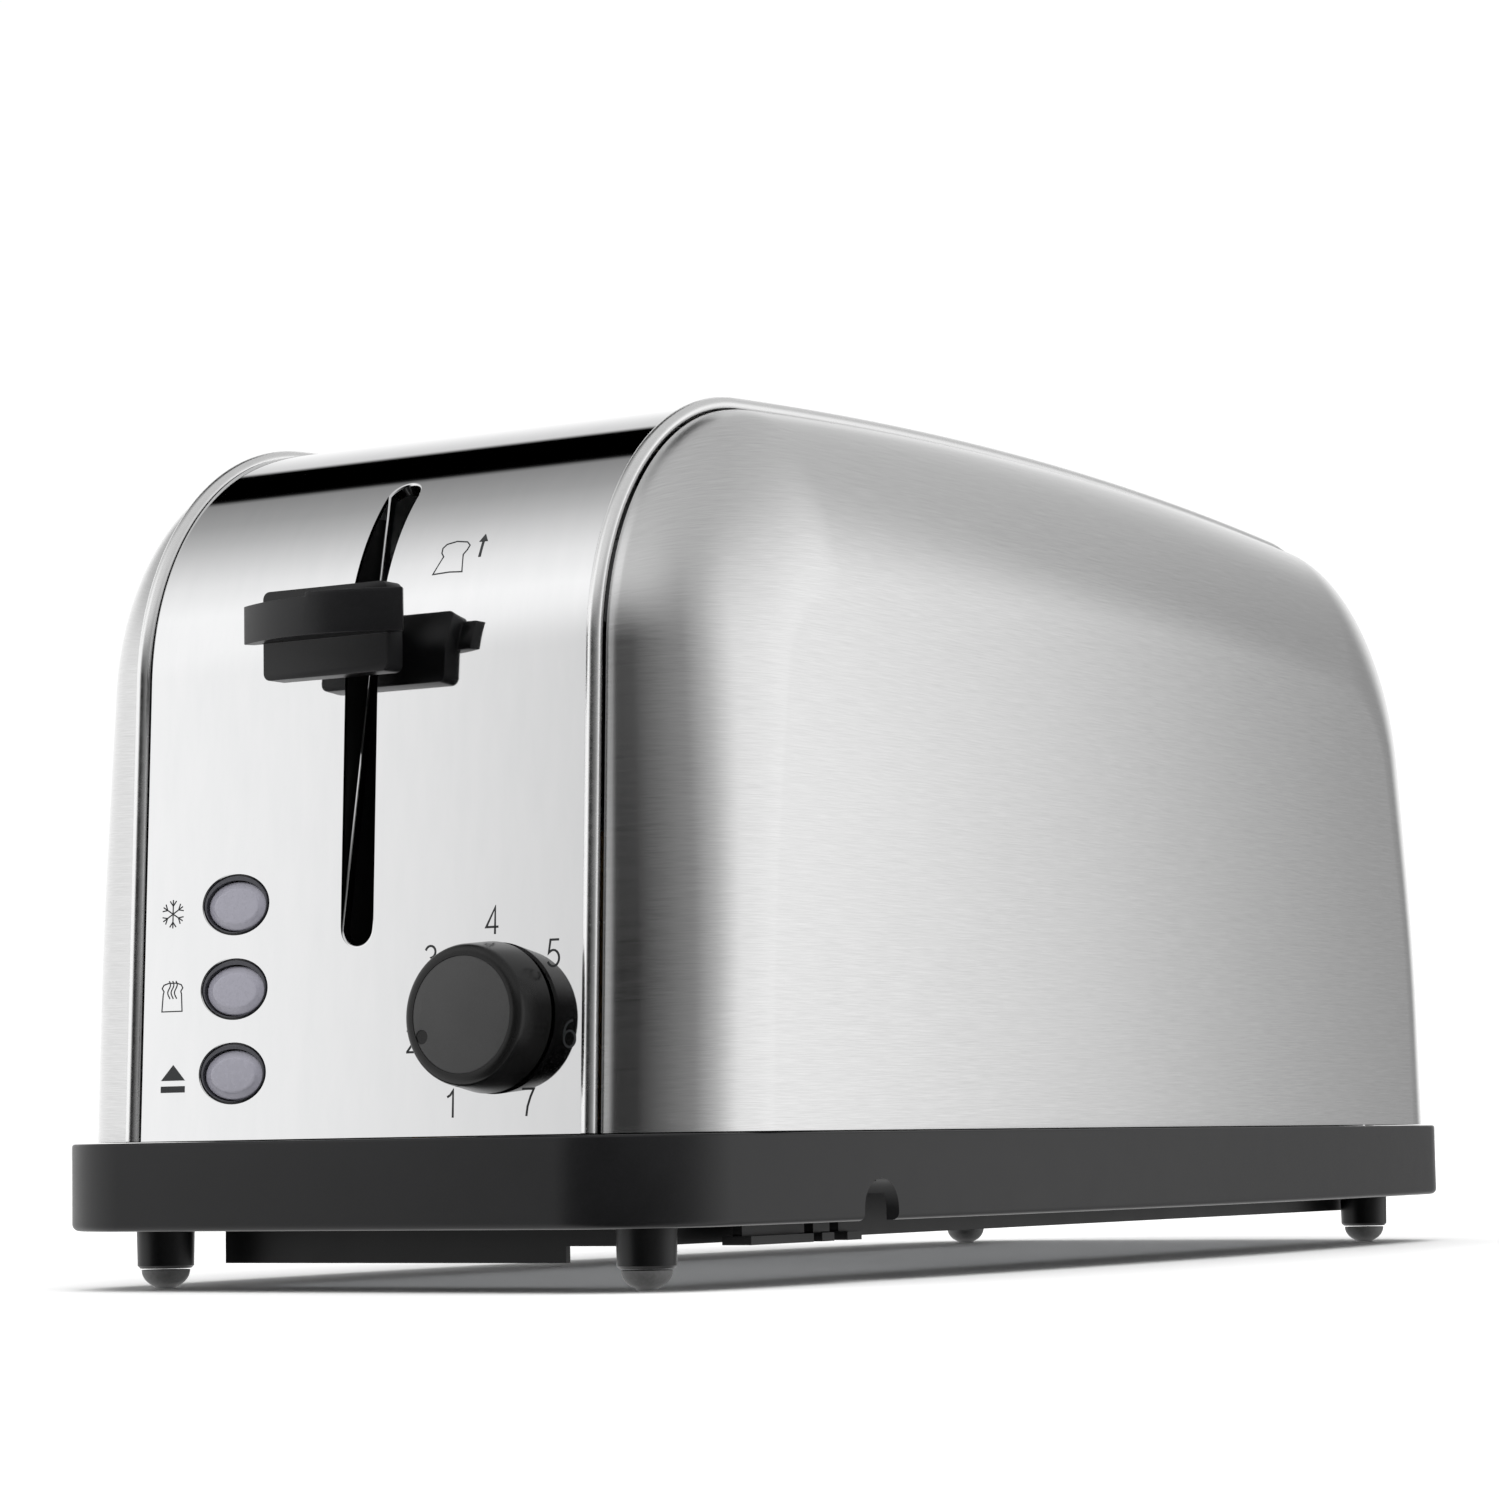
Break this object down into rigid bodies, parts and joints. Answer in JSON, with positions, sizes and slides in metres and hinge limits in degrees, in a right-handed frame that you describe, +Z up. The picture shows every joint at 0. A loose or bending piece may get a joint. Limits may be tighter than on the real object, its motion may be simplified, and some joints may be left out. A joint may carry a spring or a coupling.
{
  "type": "pop-up toaster",
  "caption": "Pop-up toaster with long bread slots, lift lever, browning dial, sprung push buttons and a slide-out crumb tray in a polished and brushed steel shell on a black plastic base.",
  "frame": {"origin": "centre of the bounding box, on the surface that the four feet stand on", "axes": "+X to the right seen from the control end, +Y from the control end to the back, +Z up"},
  "size_m": [0.18, 0.4082, 0.19],
  "materials": {
    "mirror_steel": "polished",
    "brushed_steel": "brushed lengthwise",
    "black_plastic": "satin",
    "grey_rubber": "matte",
    "smoke_plastic": "smoky translucent",
    "galvanised_steel": "dull zinc",
    "mica": "mica board",
    "nichrome": "heat-darkened ribbon",
    "circuit_board": "phenolic board",
    "copper": "enamelled winding"
  },
  "bodies": {
    "housing": {"base_frame": "black_plastic", "foot_front_left": "grey_rubber", "foot_front_right": "grey_rubber", "foot_rear_left": "grey_rubber", "foot_rear_right": "grey_rubber", "cord_gland": "black_plastic", "base_screw_1": "galvanised_steel", "base_screw_2": "galvanised_steel", "base_screw_3": "galvanised_steel", "base_screw_4": "galvanised_steel", "centre_band": "mirror_steel", "side_panel_left": "brushed_steel", "side_panel_right": "brushed_steel", "edge_bead_left": "mirror_steel", "edge_bead_right": "mirror_steel", "end_plate_front": "galvanised_steel", "end_plate_rear": "galvanised_steel", "chamber_top_plate": "galvanised_steel", "reflector_left": "galvanised_steel", "reflector_right": "galvanised_steel", "heater_card_left": "mica", "heater_card_centre": "mica", "heater_card_right": "mica", "heating_wire_left_outer": "nichrome", "heating_wire_left_inner": "nichrome", "heating_wire_right_outer": "nichrome", "heating_wire_right_inner": "nichrome", "guide_rod_left": "galvanised_steel", "guide_rod_right": "galvanised_steel", "guide_bracket": "galvanised_steel", "latch_magnet": "galvanised_steel", "magnet_coil": "copper", "control_board": "circuit_board", "browning_control": "galvanised_steel", "button_frame": "black_plastic", "mains_switch": "black_plastic", "terminal_block": "black_plastic", "slot_liner": "black_plastic"},
    "carriage": {"bread_rack_left": "galvanised_steel", "bread_rack_right": "galvanised_steel", "carriage_plate": "galvanised_steel", "carriage_slider": "black_plastic", "latch_armature": "galvanised_steel", "lever_arm": "galvanised_steel", "lever_handle": "black_plastic", "return_spring": "galvanised_steel"},
    "dial": {"browning_knob": "black_plastic", "knob_shaft": "galvanised_steel"},
    "defrost_button": {"button_defrost": "smoke_plastic"},
    "reheat_button": {"button_reheat": "smoke_plastic"},
    "cancel_button": {"button_cancel": "smoke_plastic"},
    "crumb_drawer": {"crumb_tray": "galvanised_steel", "crumb_tray_handle": "black_plastic"},
    "guide_left_outer": {"bread_guide_left_outer": "galvanised_steel"},
    "guide_left_inner": {"bread_guide_left_inner": "galvanised_steel"},
    "guide_right_inner": {"bread_guide_right_inner": "galvanised_steel"},
    "guide_right_outer": {"bread_guide_right_outer": "galvanised_steel"}
  },
  "joints": [
    {"name": "lever_slide", "type": "slide", "parent": "housing", "child": "carriage", "axis": [0, 0, 1], "range_m": [-0.055, 0.018], "stiffness_N_per_m": 100, "springref_m": 0.01925, "deforming": ["return_spring"]},
    {"name": "dial_turn", "type": "hinge", "parent": "housing", "child": "dial", "pos_m": [0.034, -0.1882, 0.0545], "axis": [0, -0.9991, 0.0427], "range_deg": [-264, 36]},
    {"name": "defrost_press", "type": "slide", "parent": "housing", "child": "defrost_button", "axis": [0, 0.9991, -0.0427], "range_m": [0, 0.0025], "stiffness_N_per_m": 500, "springref_m": -0.001},
    {"name": "reheat_press", "type": "slide", "parent": "housing", "child": "reheat_button", "axis": [0, 0.9991, -0.0427], "range_m": [0, 0.0025], "stiffness_N_per_m": 500, "springref_m": -0.001},
    {"name": "cancel_press", "type": "slide", "parent": "housing", "child": "cancel_button", "axis": [0, 0.9991, -0.0427], "range_m": [0, 0.0025], "stiffness_N_per_m": 500, "springref_m": -0.001},
    {"name": "crumb_tray_slide", "type": "slide", "parent": "housing", "child": "crumb_drawer", "axis": [0, 1, 0], "range_m": [0, 0.3]},
    {"name": "guide_left_outer_close", "type": "slide", "parent": "housing", "child": "guide_left_outer", "axis": [1, 0, 0], "range_m": [-0.0015, 0.0042]},
    {"name": "guide_left_inner_close", "type": "slide", "parent": "housing", "child": "guide_left_inner", "axis": [-1, 0, 0], "range_m": [-0.0015, 0.0042]},
    {"name": "guide_right_inner_close", "type": "slide", "parent": "housing", "child": "guide_right_inner", "axis": [1, 0, 0], "range_m": [-0.0015, 0.0042]},
    {"name": "guide_right_outer_close", "type": "slide", "parent": "housing", "child": "guide_right_outer", "axis": [-1, 0, 0], "range_m": [-0.0015, 0.0042]}
  ],
  "couplings": [
    {"joint": "guide_left_outer_close", "follows": "lever_slide", "ratio": -0.072},
    {"joint": "guide_left_inner_close", "follows": "lever_slide", "ratio": -0.072},
    {"joint": "guide_right_inner_close", "follows": "lever_slide", "ratio": -0.072},
    {"joint": "guide_right_outer_close", "follows": "lever_slide", "ratio": -0.072}
  ]
}
